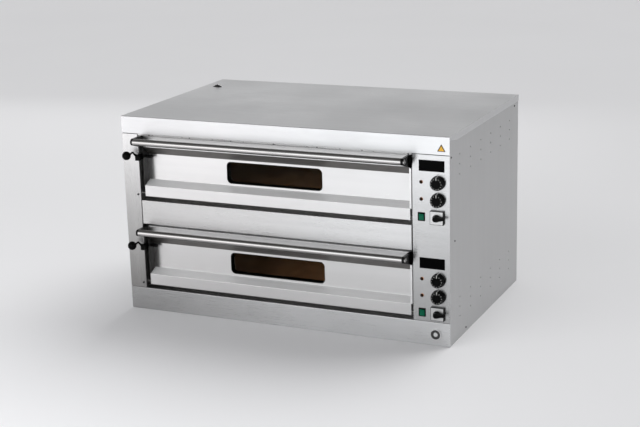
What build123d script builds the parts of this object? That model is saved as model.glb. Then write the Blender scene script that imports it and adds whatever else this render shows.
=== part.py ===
"""Double-deck electric pizza oven, all in millimetres.

+X is to the right, +Y runs back from the front, +Z is up. The origin is on the surface that the
oven stands on, below the middle of its whole outer box, handles and cable gland included.
Depths, written d, are counted back from the plane of the front sheets. Heights inside a deck are
counted from that deck's own datum, which is the stand surface for the lower deck.
"""

import os
from math import atan2, cos, radians, sin, tan

from build123d import *

os.makedirs("parts", exist_ok=True)

# ---------------------------------------------------------------- driving dimensions
body_width = 1300
body_depth = 815
body_height = 757
sheet = 1.5  # stainless sheet
bend_radius = 2.4  # outer radius of the visible bends
deck_pitch = 350
decks = {"lower": 0, "upper": deck_pitch}  # name of each deck and its datum height

# front layout
fascia_height = 64
plinth_height = 87
opening_left = -583  # the doorway, between the left post and the control panel
opening_right = 512
jamb_depth = 82  # depth of the returns round each doorway
middle_bottom = 343
middle_top = 436
fascia_joint = 2.4  # dark line under the fascia
plinth_joint = 1.2  # and over the plinth

# door, heights from the deck datum
door_left = -569.5
door_right = 501
cheek = 2  # end plates
end_plate = 5.5  # packing plate on the right-hand cheek, beside the recess
door_face = 9
recess_face = 47
door_back = 75.5
return_end = 25.5  # how far the skin's top and bottom returns reach back
door_bottom = 99
door_top = 334
lip_top = 142
recess_bottom = 159
recess_top = 258
brow_height = 291
liner_bottom = 105
liner_top = 324
window_x = -42
window_z = 208
window_width = 387
window_height = 83
window_corner = 18
hinge_d = 24
hinge_z = 110
hinge_pin_radius = 5
running = 0.05  # radial clearance of the running fits

# handle
bar_radius = 12.5
bar_d = -57
bar_z = 323.5
bracket_outer = 3.5  # leaf of each bracket that laps the cheek
bracket_inner = 4.5  # pad inside it, in front of the door

# latch lever at the door's left cheek
latch_d = 32
latch_z = 251
latch_bolt_radius = 4
ball_radius = 16.5

# oven chamber, heights from the deck datum
chamber_left = -560.5
chamber_right = 489.5
chamber_back = 773.5
chamber_floor = 118
chamber_ceiling = 305
stone_bottom = 139
stone_thick = 16
element_radius = 4
element_levels = (128, 294)
element_runs = 6
element_pitch = 110
element_first = 130  # depth of the first run
terminal_x = 530

# controls, heights from the deck datum
display_x = (538, 631)
display_z = (283, 322)
thermostat_x = 607.5
thermostat_rows = {"ceiling": 244, "floor": 183}
lamp_x = 546
rocker_x = 546
rocker_z = 120
rocker_tilt = 7
cam_x = 605
cam_z = 121

# supply cable gland at the back
gland_x = 580
gland_z = 60
gland_reach = 24
gland_bore = 7

half_width = body_width / 2
fascia_bottom = body_height - fascia_height
handle_reach = bar_radius - bar_d
front_y = handle_reach - (body_depth + gland_reach + handle_reach) / 2
door_width = door_right - door_left


# ---------------------------------------------------------------- helpers
def block(x, d, z, mode=Mode.ADD):
    """A box between a low and a high limit in x, depth and z."""
    centre = ((x[0] + x[1]) / 2, front_y + (d[0] + d[1]) / 2, (z[0] + z[1]) / 2)
    with Locations(centre):
        Box(x[1] - x[0], d[1] - d[0], z[1] - z[0], mode=mode)


def facing(d):
    """The vertical plane at a depth, seen from the front: its x is X and its y is Z."""
    return Plane.XZ.offset(-(front_y + d))


def sideways(x):
    """The vertical plane at an x, seen from the right: its x is Y and its y is Z."""
    return Plane.YZ.offset(x)


def at(points, z0=0):
    """Turns (depth, height) pairs into (Y, Z) pairs, the heights from a deck's datum."""
    return [(front_y + d, z + z0) for d, z in points]


def folded(points, radius=bend_radius, side=Side.LEFT):
    """The section of a folded sheet whose outer face follows the points, inside a sketch."""
    with BuildLine() as outline:
        FilletPolyline(*points, radius=radius)
        offset(amount=sheet, side=side)
    make_face(outline.edges())


def finish(piece, name):
    """Labels a finished piece and writes it."""
    piece.label = name
    export_step(piece, f"parts/{name}.step")


# ---------------------------------------------------------------- outer case
# The lid and its front fascia are one folded sheet. A flange hangs down each side of it, and a
# peaked scoop is pressed up over the steam outlet.
flange_height = 22.5
flange_notch = (69, 13)  # the flange's front corner rises this far over this depth
scoop_x = -587
scoop_mouth = 650
scoop_length = 54
scoop_half = 24
scoop_rise = 10.5
scoop_wall = 1.0
scoop_tail = (4, 1.0)  # half width and rise where the scoop dies out

with BuildPart() as top_cover:
    with BuildSketch(sideways(-half_width)):
        folded(at([(0, fascia_bottom), (0, body_height), (body_depth, body_height)]), side=Side.RIGHT)
    extrude(amount=body_width)
    lintel = (fascia_bottom, fascia_bottom + sheet)
    block((opening_left, opening_right), (sheet, jamb_depth), lintel)
    flange_top = body_height - sheet
    flange_bottom = flange_top - flange_height
    flange = at([
        (sheet, flange_top), (body_depth, flange_top), (body_depth, flange_bottom),
        (flange_notch[0], flange_bottom), (sheet, flange_bottom + flange_notch[1]),
    ])
    for x in (half_width - sheet, -half_width):
        with BuildSketch(sideways(x)):
            Polygon(*flange, align=None)
        extrude(amount=sheet)
    # the wall's slanting halves take more room across and upwards than their own thickness
    slope = atan2(scoop_rise, scoop_half)
    across = scoop_wall / sin(slope)
    upwards = scoop_wall / cos(slope)
    outer = (body_height, (scoop_half, scoop_rise), scoop_tail)
    inner = (flange_top, (scoop_half - across + sheet / tan(slope), scoop_rise - upwards),
             (scoop_tail[0], scoop_tail[1] - 0.5))
    for (base, mouth, tail), mode in ((outer, Mode.ADD), (inner, Mode.SUBTRACT)):
        for d, (half, rise) in ((scoop_mouth, mouth), (scoop_mouth + scoop_length, tail)):
            with BuildSketch(facing(d)):
                Polygon((scoop_x - half, base), (scoop_x + half, base), (scoop_x, body_height + rise),
                        align=None)
        loft(mode=mode)
finish(top_cover.part, "top_cover")

# Side panels stand just inside the front sheets and under the cover's flange. The one beside the
# electrical compartment has rows of small vents.
vent_radius = 3
vent_columns = 6
vent_pitch = 118
vent_row_pitch = 36
vent_first = 110
vent_rows = (82, 604)  # lowest row of each group
panel_top = body_height - sheet

with BuildPart() as right_side_panel:
    block((half_width - 2 * sheet, half_width - sheet), (bend_radius, body_depth - sheet), (0, panel_top))
    for lowest in vent_rows:
        group = (front_y + vent_first + vent_pitch * (vent_columns - 1) / 2, lowest + vent_row_pitch)
        with BuildSketch(sideways(half_width - 2 * sheet)):
            with Locations(group):
                with GridLocations(vent_pitch, vent_row_pitch, vent_columns, 3):
                    Circle(vent_radius)
        extrude(amount=sheet, mode=Mode.SUBTRACT)
finish(right_side_panel.part, "right_side_panel")

with BuildPart() as left_side_panel:
    block((sheet - half_width, 2 * sheet - half_width), (bend_radius, body_depth - sheet), (0, panel_top))
finish(left_side_panel.part, "left_side_panel")

# The back panel has a group of cooling slots behind the electrical compartment and the hole for
# the cable gland.
inner_half = half_width - 2 * sheet
gland_thread = 12.5
slot_x = 580
slot_groups = (240, 620)  # middle height of each group
slot_count = 6
slot_pitch = 22
slot_length = 84
slot_width = 7
with BuildPart() as rear_panel:
    block((-inner_half, inner_half), (body_depth - sheet, body_depth), (0, panel_top))
    with BuildSketch(facing(body_depth)):
        with Locations(*[(slot_x, group) for group in slot_groups]):
            with GridLocations(1, slot_pitch, 1, slot_count):
                SlotOverall(slot_length, slot_width)
        with Locations((gland_x, gland_z)):
            Circle(gland_thread)
    extrude(amount=sheet, mode=Mode.SUBTRACT)
finish(rear_panel.part, "rear_panel")

# The base is a tray: its front wall is the plinth, and its low side walls stand inside the panels.
tray_wall = 30
tray_back = body_depth - sheet
with BuildPart() as base_pan:
    with BuildSketch(sideways(-half_width)):
        folded(at([(jamb_depth, plinth_height), (0, plinth_height), (0, 0), (tray_back, 0)]), side=Side.LEFT)
    extrude(amount=body_width)
    for edge in (-1, 1):
        outside = sorted((edge * inner_half, edge * (half_width + 1)))
        block(outside, (sheet, body_depth), (-1, plinth_height + 1), Mode.SUBTRACT)
        wall = sorted((edge * inner_half, edge * (inner_half - sheet)))
        block(wall, (sheet, tray_back), (0, tray_wall))
    block((-inner_half, inner_half), (tray_back - sheet, tray_back), (0, tray_wall))
finish(base_pan.part, "base_pan")

post_bottom = plinth_height + plinth_joint
post_height = fascia_bottom - fascia_joint - post_bottom
bearing_hole = 6
with BuildPart() as left_post:
    with BuildSketch(Plane.XY.offset(post_bottom)):
        folded([(-half_width, front_y), (opening_left, front_y), (opening_left, front_y + jamb_depth)])
    extrude(amount=post_height)
    with BuildSketch(sideways(opening_left - sheet)):
        with Locations(*at([(hinge_d, hinge_z), (hinge_d, hinge_z + deck_pitch)])):
            Circle(bearing_hole)
    extrude(amount=sheet, mode=Mode.SUBTRACT)
finish(left_post.part, "left_post")

# The control panel, with the cut-outs for both decks' controls.
rocker_cut = (22.4, 28.8)
neck_radius = 7.5
cut_clearance = 0.2  # round each display and switch neck
shaft_hole = 5
lamp_radius = 5
with BuildPart() as control_panel:
    with BuildSketch(Plane.XY.offset(post_bottom)):
        folded([(half_width, front_y), (opening_right, front_y), (opening_right, front_y + jamb_depth)],
               side=Side.RIGHT)
    extrude(amount=post_height)
    with BuildSketch(sideways(opening_right)):
        with Locations(*at([(hinge_d, hinge_z), (hinge_d, hinge_z + deck_pitch)])):
            Circle(bearing_hole)
    extrude(amount=sheet, mode=Mode.SUBTRACT)
    with BuildSketch(facing(0)):
        for z0 in decks.values():
            with Locations((sum(display_x) / 2, sum(display_z) / 2 + z0)):
                Rectangle(display_x[1] - display_x[0] + 2 * cut_clearance,
                          display_z[1] - display_z[0] + 2 * cut_clearance)
            with Locations(*[(thermostat_x, row + z0) for row in thermostat_rows.values()]):
                Circle(shaft_hole)
            with Locations(*[(lamp_x, row + z0) for row in thermostat_rows.values()]):
                Circle(lamp_radius + 0.1)
            with Locations((rocker_x, rocker_z + z0)):
                Rectangle(*rocker_cut)
            with Locations((cam_x, cam_z + z0)):
                Circle(neck_radius + cut_clearance)
    extrude(amount=-sheet, mode=Mode.SUBTRACT)
finish(control_panel.part, "control_panel")

# The panel between the decks runs back above and below it, as sill and lintel.
middle_inset = 3.5
with BuildPart() as middle_panel:
    with BuildSketch(sideways(opening_left + middle_inset)):
        folded(at([(jamb_depth, middle_top), (0, middle_top), (0, middle_bottom),
                   (jamb_depth, middle_bottom)]))
    extrude(amount=opening_right - opening_left - 2 * middle_inset)
finish(middle_panel.part, "middle_panel")

# An angle strip closes the gap over the upper door, held up by a row of screws and rivets.
strip_face = 2
strip_bottom = 686
strip_leg = 22  # how far its upper leg runs back
with BuildPart() as lintel_strip:
    with BuildSketch(sideways(opening_left + 1)):
        folded(at([(strip_face, strip_bottom), (strip_face, fascia_bottom),
                   (strip_face + strip_leg, fascia_bottom)]), radius=1.8, side=Side.RIGHT)
    extrude(amount=opening_right - opening_left - 2)
finish(lintel_strip.part, "lintel_strip")

compartment = (opening_right, opening_right + sheet)
element_ends = [element_first, element_first + element_pitch * (element_runs - 1)]


def element_holes(radius):
    """Circles, in a sideways sketch, where the ends of all the heating elements pass."""
    for z0 in decks.values():
        with Locations(*at([(d, z) for d in element_ends for z in element_levels], z0)):
            Circle(radius)


with BuildPart() as compartment_wall:
    block(compartment, (jamb_depth, body_depth - sheet), (tray_wall, panel_top))
    with BuildSketch(sideways(opening_right)):
        element_holes(element_radius + 0.5)
    extrude(amount=sheet, mode=Mode.SUBTRACT)
finish(compartment_wall.part, "compartment_wall")

# ---------------------------------------------------------------- oven chambers
flange_rear = jamb_depth + sheet
rim_bottom = plinth_height - sheet
rim_top = middle_bottom + 0.5
outer_left = chamber_left - sheet
outer_right = chamber_right + sheet
outer_back = chamber_back + sheet
duct_x = (outer_left - 52, outer_left)
duct_d = (scoop_mouth - 10, scoop_mouth + 46)
port_radius = 12
port_z = 272
middle_x = (chamber_left + chamber_right) / 2
weld_gap = 0.1  # between neighbouring sheets

for deck, z0 in decks.items():
    floor = chamber_floor + z0
    ceiling = chamber_ceiling + z0
    wall_z = (floor + weld_gap, ceiling - weld_gap)
    wall_d = (flange_rear + weld_gap, outer_back)
    rim_d = (jamb_depth, flange_rear)
    # flat sheets welded edge to edge: floor, ceiling, two sides and back, and a rim of four strips
    # round the mouth
    with BuildPart() as chamber:
        block((outer_left, outer_right), wall_d, (floor - sheet, floor))
        block((outer_left, outer_right), wall_d, (ceiling, ceiling + sheet))
        block((outer_left, chamber_left), wall_d, wall_z)
        block((chamber_right, outer_right), wall_d, wall_z)
        block((chamber_left + weld_gap, chamber_right - weld_gap), (chamber_back, outer_back), wall_z)
        block((opening_left, opening_right), rim_d, (rim_bottom + z0, floor))
        block((opening_left, opening_right), rim_d, (ceiling, rim_top + z0))
        block((opening_left, chamber_left), rim_d, wall_z)
        block((chamber_right, opening_right), rim_d, wall_z)
        with BuildSketch(sideways(chamber_right)):
            element_holes(element_radius + 0.5)
        extrude(amount=sheet, mode=Mode.SUBTRACT)
        with BuildSketch(sideways(outer_left)):
            with Locations(*at([(sum(duct_d) / 2, port_z)], z0)):
                Circle(port_radius)
        extrude(amount=sheet, mode=Mode.SUBTRACT)
    finish(chamber.part, f"{deck}_chamber")

# Rails carry the stones: a ledge on each side wall, and one on legs between the element runs.
rail_width = 15
middle_rail = 24
leg_width = 40
with BuildPart() as stone_rails:
    for z0 in decks.values():
        deep = (flange_rear, chamber_back)
        ledge = (stone_bottom - sheet + z0, stone_bottom + z0)
        block((chamber_left, chamber_left + rail_width), deep, ledge)
        block((chamber_right - rail_width, chamber_right), deep, ledge)
        block((middle_x - middle_rail / 2, middle_x + middle_rail / 2), deep, ledge)
        for run in range(element_runs - 1):
            d = element_first + element_pitch * (run + 0.5)
            block((middle_x - sheet / 2, middle_x + sheet / 2), (d - leg_width / 2, d + leg_width / 2),
                  (chamber_floor + z0, ledge[0]))
finish(stone_rails.part, "stone_rails")

# Two fireclay stones a deck, with a fine chamfer round their tops.
mouth_d = 86  # where the stones and the insulation begin
stone_gap = 1
stone_chamfer = 1.5
with BuildPart() as hearth_stones:
    for z0 in decks.values():
        level = (stone_bottom + z0, stone_bottom + stone_thick + z0)
        deep = (mouth_d, chamber_back - stone_gap)
        block((chamber_left + stone_gap, middle_x - stone_gap / 2), deep, level)
        block((middle_x + stone_gap / 2, chamber_right - stone_gap), deep, level)
        chamfer(hearth_stones.faces().sort_by(Axis.Z)[-2:].edges(), stone_chamfer)
finish(hearth_stones.part, "hearth_stones")

# Each deck has a serpentine heating element under its stones and one under its ceiling. Both ends
# run through the right-hand wall into the electrical compartment.
turn_room = 30  # from the tubes' turns to the side walls
turn_left = chamber_left + turn_room
turn_right = chamber_right - turn_room
with BuildPart() as heating_elements:
    for z0 in decks.values():
        for level in element_levels:
            route = [(terminal_x, front_y + element_first, level + z0)]
            for run in range(element_runs - 1):
                turn = turn_right if run % 2 else turn_left
                for side in (0, 1):
                    d = element_first + element_pitch * (run + side)
                    route.append((turn, front_y + d, level + z0))
            route.append((terminal_x, front_y + element_ends[1], level + z0))
            with BuildLine() as tube_path:
                FilletPolyline(*route, radius=element_pitch / 2 - 3)
            with BuildSketch(sideways(terminal_x)):
                with Locations(*at([(element_first, level + z0)])):
                    Circle(element_radius)
            sweep(path=tube_path.wires()[0])
finish(heating_elements.part, "heating_elements")

# Slabs of mineral wool round both chambers, each a little smaller than its space.
wool_left = -inner_half + 3
wool_back = body_depth - sheet - 2
wool_gap = 0.5  # from the wool to the sheets beside it
duct_bottom = port_z - 36
with BuildPart() as insulation:
    across = (wool_left, opening_right - wool_gap)
    deep = (mouth_d, wool_back)
    below = chamber_floor - sheet - wool_gap
    above = chamber_ceiling + sheet + wool_gap
    block(across, deep, (3, below))
    block(across, deep, (above, deck_pitch + below))
    block(across, deep, (deck_pitch + above, panel_top - 1))
    for z0 in decks.values():
        level = (below + wool_gap + z0, above - wool_gap + z0)
        block((wool_left, outer_left - wool_gap), deep, level)
        block((outer_right + wool_gap, opening_right - wool_gap), deep, level)
        block((outer_left, outer_right), (outer_back + wool_gap, wool_back), level)
    duct_room = ((duct_x[0] - 1, duct_x[1] + 1), (duct_d[0] - 1, duct_d[1] + 1))
    block(*duct_room, (duct_bottom - 4, body_height), Mode.SUBTRACT)
    with BuildSketch(sideways(outer_right)):
        element_holes(element_radius + 1)
    extrude(amount=40, mode=Mode.SUBTRACT)
finish(insulation.part, "insulation")

# A square duct takes the steam from both chambers up to the scoop in the lid.
with BuildPart() as steam_duct:
    block(duct_x, duct_d, (duct_bottom, panel_top))
    inside_x = (duct_x[0] + sheet, duct_x[1] - sheet)
    inside_d = (duct_d[0] + sheet, duct_d[1] - sheet)
    block(inside_x, inside_d, (duct_bottom + sheet, panel_top), Mode.SUBTRACT)
    with BuildSketch(sideways(duct_x[1] - sheet)):
        for z0 in decks.values():
            with Locations(*at([(sum(duct_d) / 2, port_z)], z0)):
                Circle(port_radius)
    extrude(amount=sheet, mode=Mode.SUBTRACT)
finish(steam_duct.part, "steam_duct")

# An oven lamp on each chamber's right-hand wall: a bezel ring and a domed glass.
lamp_d = 170
lamp_z = 228
lamp_ring = 24
lamp_glass = 18
ring_proud = 7
glass_proud = 11
with BuildPart() as chamber_lamps:
    with BuildSketch(sideways(chamber_right)):
        with Locations(*at([(lamp_d, lamp_z), (lamp_d, lamp_z + deck_pitch)])):
            Circle(lamp_ring)
            Circle(lamp_glass, mode=Mode.SUBTRACT)
    extrude(amount=-ring_proud)
    chamfer(chamber_lamps.faces().sort_by(Axis.X)[:2].edges().filter_by(
        lambda edge: edge.radius > lamp_glass + 1), 2)
finish(chamber_lamps.part, "chamber_lamps")

with BuildPart() as lamp_lenses:
    with BuildSketch(sideways(chamber_right)):
        with Locations(*at([(lamp_d, lamp_z), (lamp_d, lamp_z + deck_pitch)])):
            Circle(lamp_glass)
    extrude(amount=-glass_proud)
    fillet(lamp_lenses.faces().sort_by(Axis.X)[:2].edges(), 3.6)
finish(lamp_lenses.part, "lamp_lenses")

# Braided seal round each chamber's mouth, just clear of the closed door.
seal_front = door_back + 1
seal_width = 8
with BuildPart() as mouth_seals:
    for z0 in decks.values():
        inner_x = (chamber_left - 0.5, chamber_right + 0.5)
        inner_z = (chamber_floor + z0 - 0.5, chamber_ceiling + z0 + 0.5)
        outer_x = (inner_x[0] - seal_width, inner_x[1] + seal_width)
        outer_z = (inner_z[0] - seal_width, inner_z[1] + seal_width)
        block(outer_x, (seal_front, jamb_depth), outer_z)
        block(inner_x, (seal_front - 1, jamb_depth + 1), inner_z, Mode.SUBTRACT)
    fillet(mouth_seals.faces().sort_by(Axis.Y)[:2].edges(), 2)
finish(mouth_seals.part, "mouth_seals")

# Bearing blocks behind the jambs carry the doors' hinge pins.
bearing_half = 12
bearing_length = 18
with BuildPart() as hinge_bearings:
    for z0 in decks.values():
        for x in (opening_left - sheet - bearing_length, opening_right + sheet):
            block((x, x + bearing_length), (hinge_d - bearing_half, hinge_d + bearing_half),
                  (hinge_z - bearing_half + z0, hinge_z + bearing_half + z0))
            with BuildSketch(sideways(x)):
                with Locations(*at([(hinge_d, hinge_z + z0)])):
                    Circle(hinge_pin_radius + running)
            extrude(amount=bearing_length, mode=Mode.SUBTRACT)
finish(hinge_bearings.part, "hinge_bearings")

# ---------------------------------------------------------------- doors
pin_length = 30
collar_radius = 9
collar_thick = 4
pane_margin = 10
pane_thick = 4
seal_thick = 2
plate_top = 286
dome_radius = 9
dome_height = 4
latch_plate = (-578.5, -574.5)  # in x, in the gap between the post and the cheek
latch_tab_x = (-589, -574.5)
latch_tab_d = (-16, -10)
latch_tab_z = (242, 266)
latch_nose = (-12, 254)  # middle of the plate's front end
latch_rod = [(-586, -13, 258), (-591.5, -27, 277), (-599, -36, 268), (-607, -46, 266)]
latch_rod_radius = 3.5
bracket_root = (19.5, 21)  # middle and length, in depth, of the part that laps the cheek
bracket_top = 335.5
bar_left = door_left + bracket_inner
bar_right = door_right - bracket_inner
stub_length = 24
profile = [
    (return_end, door_top), (door_face, door_top), (door_face, brow_height), (recess_face, recess_top),
    (recess_face, recess_bottom), (door_face, lip_top), (door_face, door_bottom), (return_end, door_bottom),
]
liner_profile = [
    (return_end - sheet, door_top - sheet), (return_end - sheet, liner_top), (door_back, liner_top),
    (door_back, liner_bottom), (return_end - sheet, liner_bottom), (return_end - sheet, door_bottom + sheet),
]
cheek_outline = [
    (door_face, door_bottom), (door_face, door_top), (return_end, door_top), (return_end, liner_top),
    (door_back, liner_top), (door_back, liner_bottom), (return_end, liner_bottom), (return_end, door_bottom),
]
skin_left = door_left + cheek
skin_width = door_width - 2 * cheek

for deck, z0 in decks.items():
    window = (window_x, window_z + z0)
    pane = (window_width + 2 * pane_margin, window_height + 2 * pane_margin)

    # front skin: one folded sheet with a lip, a recessed face and a brow under the handle
    with BuildPart() as skin:
        with BuildSketch(sideways(skin_left)):
            folded(at(profile, z0), side=Side.LEFT)
        extrude(amount=skin_width)
        with BuildSketch(facing(recess_face)):
            with Locations(window):
                RectangleRounded(window_width, window_height, window_corner)
        extrude(amount=-sheet, mode=Mode.SUBTRACT)
    finish(skin.part, f"{deck}_door_skin")

    # inner sheet of the door, a shallow pan that closes it towards the chamber
    with BuildPart() as liner:
        with BuildSketch(sideways(skin_left)):
            folded(at(liner_profile, z0), radius=1.6, side=Side.RIGHT)
        extrude(amount=skin_width)
        with BuildSketch(facing(door_back)):
            with Locations(window):
                RectangleRounded(window_width - 6, window_height - 6, window_corner - 3)
        extrude(amount=sheet, mode=Mode.SUBTRACT)
        for x in (skin_left, skin_left + skin_width - collar_thick - 1):
            with BuildSketch(sideways(x)):
                with Locations(*at([(hinge_d, hinge_z)], z0)):
                    Circle(collar_radius + 1)
            extrude(amount=collar_thick + 1, mode=Mode.SUBTRACT)
    finish(liner.part, f"{deck}_door_liner")

    with BuildPart() as cheeks:
        for x in (door_left, door_right - cheek):
            with BuildSketch(sideways(x)):
                Polygon(*at(cheek_outline, z0), align=None)
                with Locations(*at([(hinge_d, hinge_z)], z0)):
                    Circle(hinge_pin_radius, mode=Mode.SUBTRACT)
                if x == door_left:
                    with Locations(*at([(latch_d, latch_z)], z0)):
                        Circle(latch_bolt_radius + running, mode=Mode.SUBTRACT)
            extrude(amount=cheek)
        block((door_right, door_right + end_plate), (door_face, door_back), (lip_top + z0, plate_top + z0))
    finish(cheeks.part, f"{deck}_door_cheeks")

    # a black seal holds the outer pane behind the skin
    seal_back = recess_face + sheet + seal_thick
    with BuildPart() as window_seal:
        with BuildSketch(facing(recess_face + sheet)):
            with Locations(window):
                RectangleRounded(*pane, 6)
                RectangleRounded(window_width - 4, window_height - 4, window_corner - 2, mode=Mode.SUBTRACT)
        extrude(amount=-seal_thick)
    finish(window_seal.part, f"{deck}_window_seal")

    with BuildPart() as glass:
        for d in (seal_back, door_back - sheet - pane_thick):
            with BuildSketch(facing(d)):
                with Locations(window):
                    RectangleRounded(*pane, 6)
            extrude(amount=-pane_thick)
    finish(glass.part, f"{deck}_window_glass")

    with BuildPart() as wool:
        block((skin_left + 1, door_right - cheek - 1), (recess_face + sheet + 0.5, door_back - sheet - 0.5),
              (liner_bottom + sheet + 1 + z0, recess_top - 6 + z0))
        block((window_x - pane[0] / 2 - 0.5, window_x + pane[0] / 2 + 0.5), (recess_face, door_back),
              (window_z - pane[1] / 2 - 0.5 + z0, window_z + pane[1] / 2 + 0.5 + z0), Mode.SUBTRACT)
    finish(wool.part, f"{deck}_door_insulation")

    # tapered bracket plates lap the cheeks, thicker in front of the door, with a round eye at the bar
    with BuildPart() as brackets:
        for face, way in ((door_left, -1), (door_right, 1)):
            for amount, clear in ((bracket_outer, False), (-bracket_inner, True)):
                with BuildSketch(sideways(face)):
                    with Locations(*at([(bar_d, bar_z)], z0)):
                        Circle(bar_radius)
                    with Locations(*at([(bracket_root[0], (plate_top + 2 + bracket_top) / 2)], z0)):
                        Rectangle(bracket_root[1], bracket_top - plate_top - 2)
                    make_hull()
                    if clear:
                        with Locations(*at([(door_face + 50, bar_z)], z0)):
                            Rectangle(100, 100, mode=Mode.SUBTRACT)
                extrude(amount=way * amount)
    finish(brackets.part, f"{deck}_handle_brackets")

    with BuildPart() as bar:
        with BuildSketch(sideways(bar_left)):
            with Locations(*at([(bar_d, bar_z)], z0)):
                Circle(bar_radius)
                Circle(bar_radius - sheet, mode=Mode.SUBTRACT)
        extrude(amount=bar_right - bar_left)
    finish(bar.part, f"{deck}_handle_bar")

    # hinge pins with collars inside the cheeks, and domed screws at the handle's eyes
    with BuildPart() as pins:
        for outer, inner, way in ((door_left - pin_length, door_left + cheek, 1),
                                  (door_right + pin_length, door_right - cheek, -1)):
            with BuildSketch(sideways(outer)):
                with Locations(*at([(hinge_d, hinge_z)], z0)):
                    Circle(hinge_pin_radius)
            extrude(amount=way * (pin_length + cheek))
            with BuildSketch(sideways(inner)):
                with Locations(*at([(hinge_d, hinge_z)], z0)):
                    Circle(collar_radius)
            extrude(amount=way * collar_thick)
        for x, way in ((door_left - bracket_outer, -1), (door_right + bracket_outer, 1)):
            with BuildSketch(sideways(x)):
                with Locations(*at([(bar_d, bar_z)], z0)):
                    Circle(dome_radius)
            head = extrude(amount=way * dome_height)
            fillet(head.faces().sort_by(Axis.X)[-1 if way > 0 else 0].edges(), dome_height - 0.5)
    finish(pins.part, f"{deck}_door_pins")

    # latch lever: a bolt through the left cheek, a plate in the gap with a tab in front of the post,
    # a cranked rod and a ball
    with BuildPart() as latch:
        pivot = at([(latch_d, latch_z)], z0)
        with BuildSketch(sideways(latch_plate[0])):
            with Locations(*pivot):
                Circle(9)
            with Locations(*at([latch_nose], z0)):
                Rectangle(8, latch_tab_z[1] - latch_tab_z[0])
            make_hull()
        extrude(amount=latch_plate[1] - latch_plate[0])
        block(latch_tab_x, latch_tab_d, (latch_tab_z[0] + z0, latch_tab_z[1] + z0))
        for start, end, radius in ((latch_plate[1], door_left - 0.4, 8),
                                   (latch_plate[1], door_left + cheek + 1, latch_bolt_radius),
                                   (door_left + cheek + 0.4, door_left + cheek + stub_length, 6.5)):
            with BuildSketch(sideways(start)):
                with Locations(*pivot):
                    Circle(radius)
            extrude(amount=end - start)
        rod_points = [Vector(x, front_y + d, z + z0) for x, d, z in latch_rod]
        with BuildLine() as rod_path:
            FilletPolyline(*rod_points, radius=4)
        start = Plane(origin=rod_points[0], z_dir=rod_points[1] - rod_points[0])
        with BuildSketch(start):
            Circle(latch_rod_radius)
        sweep(path=rod_path.wires()[0])
        with Locations(rod_points[-1]):
            Sphere(ball_radius)
    finish(latch.part, f"{deck}_latch")

# ---------------------------------------------------------------- controls
# Smoked display windows, each moulded with its flange and the module box behind the panel.
display_proud = 0.8
display_flange = 3  # how far the flange laps the cut-out
display_flange_d = (sheet, 4)
display_back = 28
with BuildPart() as displays:
    for z0 in decks.values():
        x, z = display_x, (display_z[0] + z0, display_z[1] + z0)
        block(x, (-display_proud, display_back), z)
        block((x[0] - display_flange, x[1] + display_flange), display_flange_d,
              (z[0] - display_flange, z[1] + display_flange))
finish(displays.part, "displays")

lamp_body = 22  # length behind the panel
lens_radius = 6.6
lens_proud = 3
with BuildPart() as indicator_lamps:
    spots = [(lamp_x, row + z0) for row in thermostat_rows.values() for z0 in decks.values()]
    with BuildSketch(facing(lamp_body)):
        with Locations(*spots):
            Circle(lamp_radius)
    extrude(amount=lamp_body)
    with BuildSketch(facing(0)):
        with Locations(*spots):
            Circle(lens_radius)
    extrude(amount=lens_proud)
    fillet(indicator_lamps.faces().sort_by(Axis.Y)[:4].edges(), 2.2)
finish(indicator_lamps.part, "indicator_lamps")

# Rocker switch housings: a bezel on the panel and a body with a pocket and two small bores for
# the rocker's own trunnions.
rocker_pivot_d = 4
pocket = (18.5, 26.4)
pocket_depth = 16
bezel = (26, 31)
bezel_proud = 2
housing_back = 23.5
trunnion_radius = 1.5
trunnion_reach = 10.6  # from the rocker's middle to the end of each bore
with BuildPart() as rocker_housings:
    for z0 in decks.values():
        with BuildSketch(facing(0)):
            with Locations((rocker_x, rocker_z + z0)):
                Rectangle(rocker_cut[0] - cut_clearance, rocker_cut[1] - cut_clearance)
        extrude(amount=-housing_back)
        with BuildSketch(facing(0)):
            with Locations((rocker_x, rocker_z + z0)):
                RectangleRounded(*bezel, 1.5)
        extrude(amount=bezel_proud)
        with BuildSketch(facing(pocket_depth)):
            with Locations((rocker_x, rocker_z + z0)):
                Rectangle(*pocket)
        extrude(amount=pocket_depth + bezel_proud, mode=Mode.SUBTRACT)
        with BuildSketch(sideways(rocker_x - trunnion_reach)):
            with Locations(*at([(rocker_pivot_d, rocker_z)], z0)):
                Circle(trunnion_radius + running)
        extrude(amount=2 * trunnion_reach, mode=Mode.SUBTRACT)
finish(rocker_housings.part, "rocker_housings")

# Each rocker rests with its lower half pressed in.
rocker_width = 17.8
rocker_half = 11.6
trunnion_length = 1.1
for deck, z0 in decks.items():
    tilt = radians(rocker_tilt)
    pivot = Vector(rocker_x - rocker_width / 2, front_y + rocker_pivot_d, rocker_z + z0)
    tilted = Plane(origin=pivot, x_dir=(0, cos(tilt), sin(tilt)), z_dir=(1, 0, 0))
    with BuildPart() as rocker:
        with BuildSketch(tilted):
            Polygon((-7.5, rocker_half), (-6.2, 1.5), (-6.2, -1.5), (-7.5, -rocker_half),
                    (3, -rocker_half + 3), (3, rocker_half - 3), align=None)
        extrude(amount=rocker_width)
        fillet(rocker.edges().filter_by(Axis.X).group_by(Axis.Y)[0], 0.8)
        with BuildSketch(tilted.offset(-trunnion_length)):
            Circle(trunnion_radius)
        extrude(amount=rocker_width + 2 * trunnion_length)
    finish(rocker.part, f"{deck}_rocker")

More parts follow.
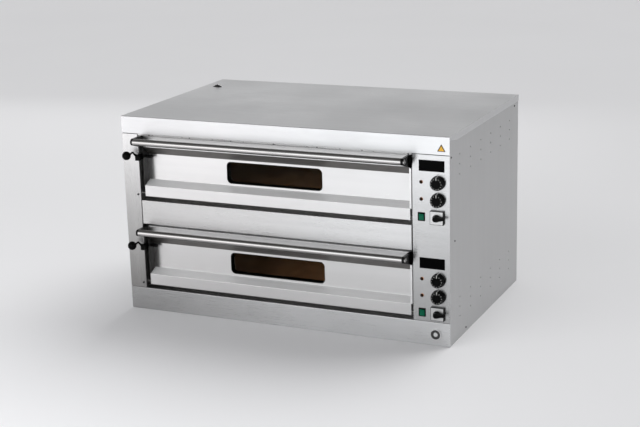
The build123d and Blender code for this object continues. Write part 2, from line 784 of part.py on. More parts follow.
# Rotary cam switches: a square housing on the panel under a bright plate, a neck through the
# panel and the contact block behind it.
cam_half = 24.3
cam_proud = 11
contact_half = 20  # the contact block behind the panel
contact_back = 48
shaft_bore = 40
plate_size = 45.6
plate_thick = 0.8
cam_shaft = 4
with BuildPart() as cam_switch_housings:
    for z0 in decks.values():
        centre = (cam_x, cam_z + z0)
        block((cam_x - cam_half, cam_x + cam_half), (-cam_proud, 0),
              (centre[1] - cam_half, centre[1] + cam_half))
        with BuildSketch(facing(0)):
            with Locations(centre):
                Circle(neck_radius)
        extrude(amount=-sheet)
        block((cam_x - contact_half, cam_x + contact_half), (sheet, contact_back),
              (centre[1] - contact_half, centre[1] + contact_half))
        with BuildSketch(facing(-cam_proud)):
            with Locations(centre):
                Circle(cam_shaft + running)
        extrude(amount=-shaft_bore, mode=Mode.SUBTRACT)
finish(cam_switch_housings.part, "cam_switch_housings")

with BuildPart() as cam_switch_plates:
    with BuildSketch(facing(-cam_proud)):
        with Locations(*[(cam_x, cam_z + z0) for z0 in decks.values()]):
            Rectangle(plate_size, plate_size)
            Circle(cam_shaft + 0.5, mode=Mode.SUBTRACT)
    extrude(amount=plate_thick)
finish(cam_switch_plates.part, "cam_switch_plates")

# The switch knob: a collar, and a teardrop grip that points to the right.
cam_collar = -(cam_proud + plate_thick + 0.4)
collar_height = 5
grip_height = 13
grip_reach = 31
shaft_length = 30
for deck, z0 in decks.items():
    centre = (cam_x, cam_z + z0)
    with BuildPart() as switch_knob:
        with BuildSketch(facing(cam_collar)):
            with Locations(centre):
                Circle(13)
        extrude(amount=collar_height)
        with BuildSketch(facing(cam_collar - collar_height)):
            with Locations(centre):
                Circle(10.5)
            with Locations((cam_x + grip_reach, cam_z + z0)):
                Circle(3.2)
            make_hull()
        extrude(amount=grip_height, taper=6)
        fillet(switch_knob.faces().sort_by(Axis.Y)[0].edges(), 1.2)
        with BuildSketch(facing(cam_collar)):
            with Locations(centre):
                Circle(cam_shaft)
        extrude(amount=-shaft_length)
    finish(switch_knob.part, f"{deck}_switch_knob")

# Thermostats behind the panel, and their round knobs, each moulded with its spindle.
spindle_radius = 3
spindle_bore = 20
thermostat_half = 20
thermostat_back = 36
with BuildPart() as thermostats:
    for z0 in decks.values():
        for row in thermostat_rows.values():
            z = row + z0
            block((thermostat_x - thermostat_half, thermostat_x + thermostat_half), (sheet, thermostat_back),
                  (z - thermostat_half, z + thermostat_half))
            with BuildSketch(facing(sheet)):
                with Locations((thermostat_x, z)):
                    Circle(spindle_radius + running)
            extrude(amount=-spindle_bore, mode=Mode.SUBTRACT)
finish(thermostats.part, "thermostats")

knob_gap = 2
skirt_radius = 25.5
skirt_thick = 4
knob_depth = 22
flutes = 24
flute_radius = 1.7
pointer = (1.8, 11)  # the groove on the face
pointer_depth = 0.8
pointer_rise = 14
spindle_reach = 17  # how far each spindle runs back from the panel's face
for deck, z0 in decks.items():
    for use, row in thermostat_rows.items():
        centre = (thermostat_x, row + z0)
        with BuildPart() as knob:
            with BuildSketch(facing(-knob_gap)):
                with Locations(centre):
                    Circle(skirt_radius)
            extrude(amount=skirt_thick)
            with BuildSketch(facing(-knob_gap - skirt_thick)):
                with Locations(centre):
                    Circle(skirt_radius - 1.5)
            extrude(amount=knob_depth - knob_gap - skirt_thick, taper=4)
            fillet(knob.faces().sort_by(Axis.Y)[0].edges(), 2.5)
            with BuildSketch(facing(-knob_gap - skirt_thick)):
                with Locations(centre):
                    with PolarLocations(skirt_radius - 0.6, flutes):
                        Circle(flute_radius)
            extrude(amount=knob_depth, mode=Mode.SUBTRACT)
            with BuildSketch(facing(-knob_depth)):
                with Locations((centre[0], centre[1] + pointer_rise)):
                    Rectangle(*pointer)
            extrude(amount=-pointer_depth, mode=Mode.SUBTRACT)
            with BuildSketch(facing(-knob_gap)):
                with Locations(centre):
                    Circle(spindle_radius)
            extrude(amount=-knob_gap - spindle_reach)
        finish(knob.part, f"{deck}_{use}_knob")

# ---------------------------------------------------------------- supply and trim
terminal_d = 755
terminal_foot = (80, 40, 12)  # width, depth and top of its foot
terminal_body = (74, 34, 40)
terminal_ways = 5
with BuildPart() as terminal_block:
    bottom = sheet
    for width, depth, top in (terminal_foot, terminal_body):
        block((gland_x - width / 2, gland_x + width / 2), (terminal_d - depth / 2, terminal_d + depth / 2),
              (bottom, top))
        bottom = top
    with BuildSketch(Plane.XY.offset(terminal_body[2])):
        with Locations((gland_x, front_y + terminal_d)):
            with GridLocations(15, 18, terminal_ways, 2):
                Circle(3)
    extrude(amount=-6, mode=Mode.SUBTRACT)
finish(terminal_block.part, "terminal_block")

# The gland: a thread through the back panel, a hexagonal nut and a collar round the cable.
thread_length = 12
nut_radius = 18
collar = (14, 6)  # radius and length
nut_length = gland_reach - collar[1]
with BuildPart() as cable_gland:
    with BuildSketch(facing(body_depth - thread_length)):
        with Locations((gland_x, gland_z)):
            Circle(gland_thread)
    extrude(amount=-thread_length)
    with BuildSketch(facing(body_depth)):
        with Locations((gland_x, gland_z)):
            RegularPolygon(nut_radius, 6)
    extrude(amount=-nut_length)
    with BuildSketch(facing(body_depth + nut_length)):
        with Locations((gland_x, gland_z)):
            Circle(collar[0])
    extrude(amount=-collar[1])
    with BuildSketch(facing(body_depth - thread_length)):
        with Locations((gland_x, gland_z)):
            Circle(gland_bore)
    extrude(amount=-(thread_length + gland_reach), mode=Mode.SUBTRACT)
finish(cable_gland.part, "cable_gland")

# A plain round badge on the plinth, with a raised rim and a raised disc in its middle.
badge_centre = (597, 43)
badge_radius = 20
badge_thick = 6
badge_rim = 3.5
badge_disc = 8
badge_sunk = 1.8
with BuildPart() as badge:
    with BuildSketch(facing(0)):
        with Locations(badge_centre):
            Circle(badge_radius)
    extrude(amount=badge_thick)
    with BuildSketch(facing(-badge_thick)):
        with Locations(badge_centre):
            Circle(badge_radius - badge_rim)
            Circle(badge_disc, mode=Mode.SUBTRACT)
    extrude(amount=-badge_sunk, mode=Mode.SUBTRACT)
    chamfer(badge.edges().filter_by(GeomType.CIRCLE).group_by(Axis.Y)[0], 0.8)
finish(badge.part, "badge")

# A blank caution triangle stuck on the fascia.
label_centre = (620, 718)
label_side = 31
with BuildPart() as caution_triangle:
    with BuildSketch(facing(0)):
        with Locations(label_centre):
            Triangle(a=label_side, b=label_side, c=label_side, align=(Align.CENTER, Align.CENTER))
        fillet(vertices(), 1.5)
    extrude(amount=0.4)
finish(caution_triangle.part, "caution_triangle")

# Small domed screws and rivets: the posts', the lintel strip's and the side panels'.
post_screw = (-594, 107.5)
strip_row = 689.2  # height of the strip's screws and rivets
screw_first = -533
screw_pitch = 172
screw_count = 7
rivet_first = -519
rivet_pitch = 127
rivet_count = 9
side_screws = [(20, 682), (56, 376), (176, 17), (763, 722)]

with BuildPart() as panel_screws:
    with BuildSketch(facing(0)):
        with Locations(*[(post_screw[0], post_screw[1] + z0) for z0 in decks.values()]):
            Circle(3.6)
    extrude(amount=2.4)
    with BuildSketch(facing(strip_face)):
        with Locations(*[(screw_first + screw_pitch * step, strip_row) for step in range(screw_count)]):
            Circle(2.2)
        with Locations(*[(rivet_first + rivet_pitch * step, strip_row) for step in range(rivet_count)]):
            Circle(1.5)
    extrude(amount=1.2)
    for x, way in ((half_width - sheet, 1), (sheet - half_width, -1)):
        with BuildSketch(sideways(x)):
            with Locations(*at(side_screws)):
                Circle(3.2)
        extrude(amount=way * 1.4)
finish(panel_screws.part, "panel_screws")
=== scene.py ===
"""Looks of the double-deck pizza oven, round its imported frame.

Everything is in metres in the row frame: +X right, +Y back from the front, +Z up. Each material
is a small node tree in object coordinates, so its grain has a real size on the object.
"""

import math

import bpy
from mathutils import Matrix, Vector


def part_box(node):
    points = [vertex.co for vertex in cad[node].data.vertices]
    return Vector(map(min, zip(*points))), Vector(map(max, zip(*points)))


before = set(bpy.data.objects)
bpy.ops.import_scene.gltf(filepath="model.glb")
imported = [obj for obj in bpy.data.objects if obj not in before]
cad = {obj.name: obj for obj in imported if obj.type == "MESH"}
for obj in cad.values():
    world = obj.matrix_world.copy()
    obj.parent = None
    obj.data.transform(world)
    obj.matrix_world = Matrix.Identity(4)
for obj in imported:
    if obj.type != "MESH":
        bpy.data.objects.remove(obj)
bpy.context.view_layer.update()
scene = bpy.context.scene
DECKS = ("lower", "upper")
MM = 0.001

case_low, case_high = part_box("base_pan")
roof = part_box("right_side_panel")[1].z
front = case_low.y
middle = Vector(((case_low.x + case_high.x) / 2, front, 0))

# ---------------------------------------------------------------- camera
# It stands to the right of the oven and looks down on it, rolled a little.
CAMERA_FROM_FRONT = Vector((2.2032, -4.4627, 1.7854))  # from the middle of the front's foot
CAMERA_AZIMUTH = math.radians(24.6)
CAMERA_ELEVATION = math.radians(15.25)
CAMERA_ROLL = math.radians(1.62)
LENS_MM = 79.98


def make_camera():
    camera = bpy.data.objects.new("camera", bpy.data.cameras.new("camera"))
    scene.collection.objects.link(camera)
    level = Matrix.Rotation(CAMERA_AZIMUTH, 4, "Z") @ Matrix.Rotation(
        math.pi / 2 - CAMERA_ELEVATION, 4, "X"
    )
    camera.matrix_world = (
        Matrix.Translation(middle + CAMERA_FROM_FRONT) @ level @ Matrix.Rotation(-CAMERA_ROLL, 4, "Z")
    )
    camera.data.sensor_width = 36
    camera.data.lens = LENS_MM
    camera.data.clip_end = 100
    scene.camera = camera


make_camera()


# ---------------------------------------------------------------- node trees
class Shader:
    """A material's node tree, with short calls for the nodes that these materials use."""

    def __init__(self, name, **surface):
        self.material = bpy.data.materials.new(name)
        self.material.use_nodes = True
        self.tree = self.material.node_tree
        self.surface = self.tree.nodes["Principled BSDF"]
        for socket, value in surface.items():
            self.surface.inputs[socket.replace("_", " ")].default_value = value

    def node(self, kind, *inputs, **settings):
        """Adds a node; each input is a value, a socket to link, or None to leave alone."""
        made = self.tree.nodes.new("ShaderNode" + kind)
        for key, value in settings.items():
            setattr(made, key, value)
        for socket, value in zip(made.inputs, inputs):
            self.feed(socket, value)
        return made

    def feed(self, socket, value):
        if isinstance(value, bpy.types.NodeSocket):
            self.tree.links.new(value, socket)
        elif value is not None:
            socket.default_value = value

    def set(self, socket, value):
        self.feed(self.surface.inputs[socket], value)

    def math(self, operation, *inputs):
        return self.node("Math", *inputs, operation=operation).outputs[0]

    def place(self, scale=(1, 1, 1)):
        """Object coordinates, stretched."""
        where = self.node("TexCoord").outputs["Object"]
        return self.node("Mapping", where, None, None, scale).outputs[0]

    def noise(self, scale, stretch=(1, 1, 1), detail=2.0, rough=0.5):
        made = self.node("TexNoise", self.place(stretch))
        made.inputs["Scale"].default_value = scale
        made.inputs["Detail"].default_value = detail
        made.inputs["Roughness"].default_value = rough
        return made.outputs["Fac"]

    def spread(self, value, low, high):
        """A noise value, mostly 0.3 to 0.7, mapped on to low to high."""
        return self.node("MapRange", value, 0.3, 0.7, low, high).outputs[0]

    def blend(self, factor, first, second):
        """The first colour where the factor is 0, the second where it is 1."""
        made = self.node("Mix", data_type="RGBA")
        sockets = made.inputs[0], made.inputs[6], made.inputs[7]  # the factor and the two colours
        for socket, value in zip(sockets, (factor, first, second)):
            self.feed(socket, value)
        return made.outputs[2]

    def times(self, colour, factor):
        """A colour, plain or linked, made darker or lighter."""
        if isinstance(colour, tuple):
            return scaled(colour, factor)
        return self.node("VectorMath", colour, (factor,) * 3, operation="MULTIPLY").outputs[0]

    def inside(self, value, low, high):
        """1 where the value lies between the limits, else 0."""
        above = self.math("GREATER_THAN", value, low)
        return self.math("MULTIPLY", above, self.math("LESS_THAN", value, high))

    def axes(self):
        """The three object coordinates, each as a value."""
        return self.node("SeparateXYZ", self.place()).outputs

    def round_face(self, node):
        """Coordinates on a round piece's front: across and up from its middle, away from it, and y."""
        low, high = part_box(node)
        x, y, z = self.axes()
        across = self.math("SUBTRACT", x, (low.x + high.x) / 2)
        up = self.math("SUBTRACT", z, (low.z + high.z) / 2)
        squares = self.math("MULTIPLY", across, across), self.math("MULTIPLY", up, up)
        return across, up, self.math("POWER", self.math("ADD", *squares), 0.5), y

    def facing(self, way):
        """1 on faces that look up (way 1) or down (way -1), 0 on upright ones."""
        z = self.node("SeparateXYZ", self.node("TexCoord").outputs["Normal"]).outputs[2]
        return self.node("MapRange", z, 0.3 * way, 0.8 * way, 0.0, 1.0).outputs[0]

    def edges(self, radius):
        """0 on flat faces, up to 1 at sharp edges, over the radius."""
        bevel = self.node("Bevel", radius, samples=4).outputs[0]
        true = self.node("NewGeometry").outputs["True Normal"]
        agree = self.node("VectorMath", bevel, true, operation="DOT_PRODUCT").outputs["Value"]
        return self.node("MapRange", agree, 1.0, 0.8, 0.0, 1.0).outputs[0]

    def bump(self, height, distance, strength=1.0, normal=None):
        made = self.node("Bump")
        made.inputs["Strength"].default_value = strength
        made.inputs["Distance"].default_value = distance
        self.feed(made.inputs["Height"], height)
        self.feed(made.inputs["Normal"], normal)
        return made.outputs[0]


def grey(value, warm=0.0):
    """A near-neutral colour; warm above 0 is browner, below 0 is bluer."""
    return (value * (1 + warm), value, value * (1 - warm), 1)


def scaled(colour, factor):
    return tuple(min(1, part * factor) for part in colour[:3]) + (1,)


GRAIN = {"X": (0.02, 1, 1), "Z": (1, 1, 0.02), "Y": (1, 0.02, 1)}
ALONG = {"X": (1, 0.03, 0.06), "Z": (0.03, 0.06, 1), "Y": (0.03, 1, 0.06)}  # never quite a face's normal
STREAKS = 45  # noise scale of the streaks along the grain, and of the clouds across a sheet
CLOUDS = 3.5
DARKER, PALER, RUBBED = 0.85, 1.15, 1.25  # a streak's tones and a rubbed edge's, times the steel's own


def brushed(name, colour, rough, along="X", anisotropy=0.75, streak=0.05, line=900, dull_tops=0.0):
    """Stainless sheet ground along one axis: fine lines, broad faint streaks, rubbed edges.

    colour is plain, or a function of the shader that gives a linked one. dull_tops, 0 to 1,
    makes faces that look up less like a mirror, so the lamps light them flat; on the door this adds to its
    painted highlight on ledges.
    """
    s = Shader(name, Metallic=1.0, Anisotropic=anisotropy)
    if dull_tops:
        s.set("Metallic", s.math("SUBTRACT", 1.0, s.math("MULTIPLY", s.facing(1), dull_tops)))
    lines = s.noise(line, GRAIN[along], 3, 0.6)
    streaks = s.noise(STREAKS, GRAIN[along], 2)
    cloud = s.noise(CLOUDS, detail=3)
    tone = s.math("ADD", s.spread(streaks, -streak, streak), s.spread(cloud, -streak / 2, streak / 2))
    value = s.node("MapRange", tone, -0.15, 0.15, 0.0, 1.0).outputs[0]
    if callable(colour):
        colour = colour(s)
    body = s.blend(value, s.times(colour, DARKER), s.times(colour, PALER))
    rub = s.edges(1.6 * MM)
    s.set("Base Color", s.blend(s.math("MULTIPLY", rub, 0.6), body, s.times(colour, RUBBED)))
    roughness = s.math("ADD", s.spread(lines, rough - 0.05, rough + 0.05), s.spread(cloud, -0.03, 0.03))
    s.set("Roughness", s.math("SUBTRACT", roughness, s.math("MULTIPLY", rub, 0.1)))
    s.set("Normal", s.bump(lines, 0.02 * MM, 0.35, s.node("Bevel", 0.8 * MM, samples=4).outputs[0]))
    normal = s.node("NewGeometry").outputs["Normal"]
    grain = s.node("CombineXYZ", *ALONG[along]).outputs[0]
    s.set("Tangent", s.node("VectorMath", normal, grain, operation="CROSS_PRODUCT").outputs[0])
    return s.material


PEBBLE = 1400  # noise scale of the moulded grain
PRINT_WHITE = (0.75, 0.75, 0.73, 1)


def moulded(name, colour, rough, grain=0.02 * MM, coat=0.0, shine=0.5, marks=None):
    """Moulded plastic or enamel: a fine pebble, slightly uneven gloss, edges rubbed paler.

    marks is a function of the shader that gives 1 where white marks are printed.
    """
    s = Shader(name, Coat_Weight=coat, Specular_IOR_Level=shine)
    pebble = s.noise(PEBBLE, detail=2)
    cloud = s.noise(30, detail=3)
    rub = s.edges(0.9 * MM)
    rubbed = tuple(min(1, part * 1.6 + 0.006) for part in colour[:3]) + (1,)
    tone = s.blend(s.spread(cloud, 0, 1), scaled(colour, 0.8), scaled(colour, 1.2))
    tone = s.blend(s.math("MULTIPLY", rub, 0.5), tone, rubbed)
    s.set("Base Color", s.blend(marks(s), tone, PRINT_WHITE) if marks else tone)
    gloss = s.spread(cloud, rough - 0.04, rough + 0.06)
    s.set("Roughness", s.math("ADD", gloss, s.math("MULTIPLY", rub, 0.08)))
    s.set("Normal", s.bump(pebble, grain, 0.5, s.node("Bevel", 0.5 * MM, samples=4).outputs[0]))
    return s.material


def fireclay():
    """Refractory stone: sandy, speckled, scorched in patches."""
    s = Shader("fireclay", Roughness=0.9)
    grit = s.noise(420, detail=5, rough=0.7)
    patch = s.noise(6, detail=4)
    speck = s.node("TexVoronoi", s.place(), None, 260.0).outputs["Distance"]
    base = s.blend(s.spread(grit, 0, 1), (0.30, 0.175, 0.095, 1), (0.46, 0.30, 0.18, 1))
    scorched = s.blend(s.spread(patch, 0, 0.75), base, (0.17, 0.10, 0.06, 1))
    dots = s.node("MapRange", speck, 0.0, 0.25, 0.75, 0.0).outputs[0]
    dots = s.math("MULTIPLY", dots, s.spread(grit, 0, 1))
    s.set("Base Color", s.blend(dots, scorched, (0.10, 0.06, 0.04, 1)))
    s.set("Normal", s.bump(grit, 0.6 * MM, 0.8, s.node("Bevel", 1.5 * MM, samples=4).outputs[0]))
    return s.material


def mineral_wool():
    """Pressed mineral fibre."""
    s = Shader("mineral_wool", Roughness=0.95, Sheen_Weight=0.3)
    fibre = s.noise(300, (1, 1, 6), 4, 0.7)
    s.set("Base Color", s.blend(s.spread(fibre, 0, 1), (0.42, 0.37, 0.24, 1), (0.66, 0.60, 0.44, 1)))
    s.set("Normal", s.bump(fibre, 2 * MM, 0.7))
    return s.material


def braid():
    """Braided glass-fibre seal: small crossing ribs."""
    s = Shader("braid", Roughness=0.85, Sheen_Weight=0.2)
    one = s.node("TexWave", s.place((1, 1, 1)), 170.0, bands_direction="DIAGONAL").outputs["Fac"]
    other = s.node("TexWave", s.place((-1, 1, 1)), 170.0, bands_direction="DIAGONAL").outputs["Fac"]
    weave = s.math("MAXIMUM", one, other)
    grime = s.noise(9, detail=3)
    clean = s.blend(weave, (0.16, 0.155, 0.14, 1), (0.40, 0.39, 0.35, 1))
    s.set("Base Color", s.blend(s.spread(grime, 0, 0.6), clean, (0.10, 0.09, 0.075, 1)))
    s.set("Normal", s.bump(weave, 0.8 * MM, 0.9))
    return s.material


def pane_glass(name, tint, rough, index):
    """Oven glass with a faint film that dulls it in patches."""
    s = Shader(name, Transmission_Weight=1.0, IOR=index)
    film = s.noise(14, detail=3)
    s.set("Base Color", s.blend(s.spread(film, 0, 1), tint, scaled(tint, 0.85)))
    s.set("Roughness", s.spread(film, rough, rough + 0.05))
    return s.material


def lens():
    """Small amber lamp lenses: dark ribbed domes whose rims glow."""
    s = Shader("amber_lens", Roughness=0.16, Specular_IOR_Level=0.1, Emission_Strength=1.0)
    ribs = s.node("TexWave", s.place(), 260.0, bands_direction="Z").outputs["Fac"]
    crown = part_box("indicator_lamps")[0].y + 1.2 * MM
    rim = s.node("MapRange", s.axes()[1], crown, front - 0.2 * MM, 0.0, 1.0).outputs[0]
    core = s.blend(s.math("MULTIPLY", ribs, 0.3), (0.010, 0.003, 0.001, 1), (0.06, 0.02, 0.005, 1))
    s.set("Base Color", s.blend(rim, core, (0.8, 0.35, 0.12, 1)))
    s.set("Emission Color", s.blend(rim, (0.003, 0.001, 0, 1), (0.85, 0.42, 0.22, 1)))
    s.set("Normal", s.bump(ribs, 0.2 * MM, 0.4))
    return s.material


CAUTION_BORDER = 2.3 * MM
POINTER_WIDTH = 2.2 * MM
POINTER_REACH = (13 * MM, 26 * MM)  # from the knob's middle
TICK_REACH = (17 * MM, 20 * MM)
TICK_STEP = 30  # degrees
INDEX_WIDTH = 2.4 * MM
INDEX_RISE = (1 * MM, 5 * MM)  # above the knob


def caution_label(node):
    """A printed triangle: amber with a dark border of even width, scuffed."""
    low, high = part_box(node)
    inner = (high.x - low.x) / (2 * math.sqrt(3))
    middle_x, middle_z = (low.x + high.x) / 2, low.z + inner
    s = Shader("caution_label", Roughness=0.35)
    x, _, z = s.axes()
    x, z = s.math("SUBTRACT", x, middle_x), s.math("SUBTRACT", z, middle_z)
    sideways = s.math("MULTIPLY", s.math("ABSOLUTE", x), math.cos(math.pi / 6))
    sloped = s.math("ADD", sideways, s.math("MULTIPLY", z, math.sin(math.pi / 6)))
    edge = s.math("MAXIMUM", sloped, s.math("MULTIPLY", z, -1.0))
    border = s.math("GREATER_THAN", edge, inner - CAUTION_BORDER)
    scuff = s.noise(160, detail=4, rough=0.7)
    amber = s.blend(s.spread(scuff, 0, 1), (0.80, 0.40, 0.015, 1), (0.88, 0.50, 0.03, 1))
    s.set("Base Color", s.blend(border, amber, (0.05, 0.028, 0.01, 1)))
    s.set("Roughness", s.spread(scuff, 0.3, 0.45))
    return s.material


def dial_marks(node):
    """White print on a round knob's face: its pointer, and short ticks all round."""

    def marks(s):
        across, up, away, y = s.round_face(node)
        line = s.inside(across, -POINTER_WIDTH / 2, POINTER_WIDTH / 2)
        pointer = s.math("MULTIPLY", line, s.inside(up, *POINTER_REACH))
        half_step = math.radians(TICK_STEP / 2)
        turn = s.math("WRAP", s.math("ARCTAN2", across, up), -half_step, half_step)
        tick = s.math("MULTIPLY", s.inside(away, *TICK_REACH), s.inside(turn, -0.04, 0.04))
        face = s.math("LESS_THAN", y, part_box(node)[0].y + 1.5 * MM)
        return s.math("MAXIMUM", pointer, s.math("MULTIPLY", face, tick))

    return marks


def painted_by_slope(upright, up, down):
    """A colour, plain or drifting, for upright faces, and others for those that look up and down: painted
    light and shade by which way a face looks.
    """

    def colour(s):
        level = upright(s) if callable(upright) else upright
        return s.blend(s.facing(-1), s.blend(s.facing(1), level, up), down)

    return colour


def graded(axis, start, end, first, last):
    """A colour that drifts from first to last along an axis, 0 for X to 2 for Z."""

    def colour(s):
        drift = s.node("MapRange", s.axes()[axis], start, end, 0.0, 1.0).outputs[0]
        return s.blend(drift, first, last)

    return colour


def ringed(node, first, second, radii):
    """The second colour on a round piece's face between two radii, else the first."""

    def colour(s):
        away = s.round_face(node)[2]
        return s.blend(s.inside(away, *radii), first, second)

    return colour


def on_panel(plain):
    """The control panel's colour, with a short dark index mark printed over each round knob."""
    knobs = [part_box(f"{deck}_{use}_knob") for deck in DECKS for use in ("ceiling", "floor")]
    low, high = knobs[0]
    knob_x = (low.x + high.x) / 2

    def colour(s):
        x, _, z = s.axes()
        line = s.inside(x, knob_x - INDEX_WIDTH / 2, knob_x + INDEX_WIDTH / 2)
        printed = 0.0
        for _, top in knobs:
            printed = s.math("MAXIMUM", printed, s.inside(z, *(top.z + rise for rise in INDEX_RISE)))
        return s.blend(s.math("MULTIPLY", line, printed), plain(s), grey(0.03))

    return colour


def painted_shade_by_side(first, second, border):
    """Two colours, one on each side of a border along X: the first a painted shade, the second the lit
    tone.
    """

    def colour(s):
        return s.blend(s.math("GREATER_THAN", s.axes()[0], border), first, second)

    return colour


# ---------------------------------------------------------------- finishes
# The sheets are painted darker low down and on the left: a painted reflection of a room that is darker
# there, so their tones drift.
X, Z = 0, 2
painted_reflection = {
    "frame": graded(X, -0.55, 0.4, grey(0.52, 0.005), grey(0.64)),
    "post": graded(Z, 0.1, 0.65, grey(0.32, 0.02), grey(0.58, 0.005)),
    "panel": graded(Z, 0.1, 0.6, grey(0.44), grey(0.55, -0.004)),
    "plinth": graded(X, -0.6, 0.0, grey(0.37), grey(0.64, -0.004)),
    "door": graded(Z, 0.15, 0.55, grey(0.60, 0.006), grey(0.67, 0.004)),
}
# Door faces that look up are painted pale, a painted highlight on its ledges; faces that look down are
# painted dark brown, a painted shade under its brow.
door_painted_light = painted_by_slope(painted_reflection["door"], up=grey(0.92), down=grey(0.15, 0.06))
# The handle bar's top is painted dark and its underside near black: a painted reflection of dark
# surroundings above and below it.
bar_painted_reflection = painted_by_slope(grey(0.50, 0.02), up=grey(0.2, 0.04), down=grey(0.03, 0.1))
badge_ring = (8 * MM, 17.5 * MM)

steel = brushed("steel", painted_reflection["frame"], 0.30, streak=0.03)
post_steel = brushed("post_steel", painted_reflection["post"], 0.30, along="Z")
panel_steel = brushed("panel_steel", on_panel(painted_reflection["panel"]), 0.24, anisotropy=0.85, streak=0.02)
plinth_steel = brushed("plinth_steel", painted_reflection["plinth"], 0.30, streak=0.02)
cover_steel = brushed("cover_steel", grey(0.67, -0.006), 0.34, streak=0.015)
door_steel = brushed("door_steel", door_painted_light, 0.34, streak=0.02, dull_tops=0.65)
side_steel = brushed(
    "side_steel", grey(0.59, -0.002), 0.55, along="Z", anisotropy=0.2, streak=0.01, line=600
)
chamber_steel = brushed("chamber_steel", grey(0.42, 0.03), 0.42, streak=0.12)
jamb_steel = brushed("jamb_steel", grey(0.10, 0.02), 0.45, streak=0.08)
# The door cheeks left of the middle are painted near black, a painted shade; those on the right keep the
# steel's own tone.
cheek_steel = brushed("cheek_steel", painted_shade_by_side(grey(0.05, 0.02), grey(0.70, 0.003), 0.0), 0.32, streak=0.05)
element_steel = brushed("element_steel", grey(0.16, 0.05), 0.55, streak=0.15)
polished = brushed("polished_steel", bar_painted_reflection, 0.09, anisotropy=0.3, streak=0.02, line=1500)
bright_plate = brushed("bright_plate", grey(0.56), 0.25, streak=0.03, line=1200)
badge_steel = brushed("badge_steel", ringed("badge", grey(0.80), grey(0.08), badge_ring), 0.25, line=1200)
black_plastic = moulded("black_plastic", grey(0.003), 0.28, shine=0.05)
black_enamel = moulded("black_enamel", grey(0.003, 0.02), 0.22, coat=0.04, shine=0.1)
grey_plastic = moulded("grey_plastic", grey(0.35), 0.5)
rubber = moulded("black_rubber", grey(0.015), 0.6, shine=0.2)
smoked = moulded("smoked_plastic", grey(0.001), 0.12, grain=0.002 * MM, shine=0.02)
green = moulded("green_plastic", (0.002, 0.115, 0.058, 1), 0.25, shine=0.15)
dark_screws = brushed("dark_screws", grey(0.02), 0.5, streak=0.05)
window_pane = pane_glass("window_pane", (0.74, 0.70, 0.64, 1), 0.01, 1.08)
lamp_glass = pane_glass("lamp_glass", (0.95, 0.92, 0.86, 1), 0.08, 1.5)

FINISHES = {
    steel: ["middle_panel", "lintel_strip"],
    post_steel: ["left_post"],
    panel_steel: ["control_panel"],
    plinth_steel: ["base_pan"],
    cover_steel: ["top_cover"],
    side_steel: ["left_side_panel", "right_side_panel", "rear_panel"],
    chamber_steel: ["compartment_wall", "lower_chamber", "upper_chamber", "steam_duct", "chamber_lamps"],
    jamb_steel: ["hinge_bearings"],
    element_steel: ["heating_elements"],
    bright_plate: ["cam_switch_plates"],
    badge_steel: ["badge"],
    black_plastic: ["rocker_housings", "cam_switch_housings", "cable_gland"],
    grey_plastic: ["thermostats", "terminal_block"],
    smoked: ["displays"],
    caution_label("caution_triangle"): ["caution_triangle"],
    dark_screws: ["panel_screws"],
    lamp_glass: ["lamp_lenses"],
    lens(): ["indicator_lamps"],
    fireclay(): ["hearth_stones"],
    mineral_wool(): ["insulation"],
    braid(): ["mouth_seals"],
}
DECK_FINISHES = {
    door_steel: ["door_skin"],
    chamber_steel: ["door_liner"],
    cheek_steel: ["door_cheeks"],
    polished: ["handle_bar", "door_pins"],
    black_enamel: ["handle_brackets"],
    black_plastic: ["latch", "switch_knob"],
    rubber: ["window_seal"],
    window_pane: ["window_glass"],
    green: ["rocker"],
}


def dress(node, material):
    mesh = cad[node].data
    mesh.materials.clear()
    mesh.materials.append(material)


for finish, names in FINISHES.items():
    for name in names:
        dress(name, finish)
for finish, names in DECK_FINISHES.items():
    for name in names:
        for deck in DECKS:
            dress(f"{deck}_{name}", finish)
for deck in DECKS:
    dress(f"{deck}_door_insulation", cad["insulation"].data.materials[0])
    for use in ("ceiling", "floor"):
        knob = f"{deck}_{use}_knob"
        dress(knob, moulded(knob, grey(0.0025), 0.28, shine=0.04, marks=dial_marks(knob)))


# ---------------------------------------------------------------- stage and light
FLOOR_REACH = 30


def make_floor():
    """A wide floor of plain pale paper."""
    mesh = bpy.data.meshes.new("floor")
    signs = ((-1, -1), (1, -1), (1, 1), (-1, 1))
    corners = [(across * FLOOR_REACH, back * FLOOR_REACH, 0) for across, back in signs]
    mesh.from_pydata(corners, [], [(0, 1, 2, 3)])
    floor = bpy.data.objects.new("floor", mesh)
    scene.collection.objects.link(floor)
    s = Shader("floor_paper", Roughness=0.75)
    s.set("Base Color", s.blend(s.noise(0.6), (0.86, 0.86, 0.87, 1), (0.9, 0.9, 0.91, 1)))
    mesh.materials.append(s.material)


def aimed(light, place, aim):
    """An object that holds the light and points it along aim."""
    holder = bpy.data.objects.new(light.name, light)
    scene.collection.objects.link(holder)
    holder.location = place
    holder.rotation_mode = "QUATERNION"
    holder.rotation_quaternion = Vector(aim).to_track_quat("-Z", "Y")
    return holder


def softbox(name, place, target, size, radiance, colour=(1, 1, 1), glossy=True):
    """A rectangular area light; size is its width and height in metres."""
    light = bpy.data.lights.new(name, "AREA")
    light.shape = "RECTANGLE"
    light.size, light.size_y = size
    light.energy = radiance * math.pi * size[0] * size[1]
    light.color = colour
    box = aimed(light, place, Vector(target) - Vector(place))
    box.visible_camera = False
    box.visible_glossy = glossy


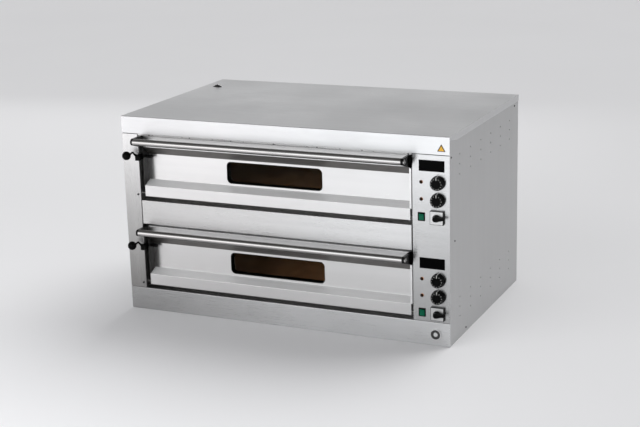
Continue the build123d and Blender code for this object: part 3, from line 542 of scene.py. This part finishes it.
def make_world():
    """A soft studio surround, brightest at the horizon."""
    world = bpy.data.worlds.new("studio")
    scene.world = world
    world.use_nodes = True
    tree = world.node_tree
    where = tree.nodes.new("ShaderNodeTexCoord")
    split = tree.nodes.new("ShaderNodeSeparateXYZ")
    fall = tree.nodes.new("ShaderNodeMapRange")
    tree.links.new(where.outputs["Generated"], split.inputs[0])
    tree.links.new(split.outputs["Z"], fall.inputs[0])
    for socket, value in zip(list(fall.inputs)[1:5], (0.0, 1.0, WORLD_HORIZON, WORLD_ZENITH)):
        socket.default_value = value
    background = tree.nodes["Background"]
    background.inputs["Color"].default_value = (0.985, 0.985, 1, 1)
    tree.links.new(fall.outputs[0], background.inputs["Strength"])


WORLD_HORIZON = 0.62
WORLD_ZENITH = 0.2
# Two lit screens stand in front: the steel front mirrors them, so they set its tone.
SCREEN_Y = front - 2.4
SCREEN_Z = 0.9
SCREEN_HEIGHT = 1.8
SCREENS = {  # middle and width along X, radiance, colour
    "screen_left": (-2.2, 2.1, 1.32, (1, 0.985, 1)),
    "screen_right": (-0.2, 1.84, 1.34, (0.96, 0.98, 1)),
}
# Broad light from high behind the right, so the shade falls in front.
SKY_LIGHT = 1.7
SKY_ANGLE = math.radians(50)
SKY_PLACE = (2, 4, 5)
SKY_AIM = Vector((-0.42, -0.9, -1.1))
# A lamp high in each chamber's right front corner shines to the left, past the window.
OVEN_LIGHTS = {  # power in watts, colour
    "lower": (5.0, (1.0, 0.8, 0.58)),
    "upper": (2.6, (1.0, 0.92, 0.78)),
}
OVEN_LIGHT_INSET = Vector((-0.04, 0.1, -0.07))  # from the chamber's right, front and top
OVEN_LIGHT_AIM = Vector((-0.35, -0.02, -0.13))
OVEN_LIGHT_CONE = math.radians(75)


def light_chambers():
    for deck, (power, colour) in OVEN_LIGHTS.items():
        low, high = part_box(f"{deck}_chamber")
        light = bpy.data.lights.new(f"{deck}_oven_light", "SPOT")
        light.energy = power
        light.color = colour
        light.spot_size = OVEN_LIGHT_CONE
        light.spot_blend = 1.0
        light.shadow_soft_size = 0.015
        aimed(light, Vector((high.x, low.y, high.z)) + OVEN_LIGHT_INSET, OVEN_LIGHT_AIM)


def make_light():
    make_world()
    for name, (x, width, radiance, colour) in SCREENS.items():
        size = (width, SCREEN_HEIGHT)
        softbox(name, (x, SCREEN_Y, SCREEN_Z), (x, 0, SCREEN_Z), size, radiance, colour)
    softbox("back", place=(-2.3, 3.2, 1.6), target=(-1.6, 0, 0.6), size=(4.6, 1.8), radiance=0.42)
    softbox("front_top", (-0.8, -2.6, 3.0), (0, 0, 0.4), (3.0, 1.4), 1.2, glossy=False)
    sky = bpy.data.lights.new("sky", "SUN")
    sky.energy = SKY_LIGHT
    sky.angle = SKY_ANGLE
    aimed(sky, SKY_PLACE, SKY_AIM).visible_glossy = False
    light_chambers()


scene.view_settings.view_transform = "Standard"
make_floor()
make_light()
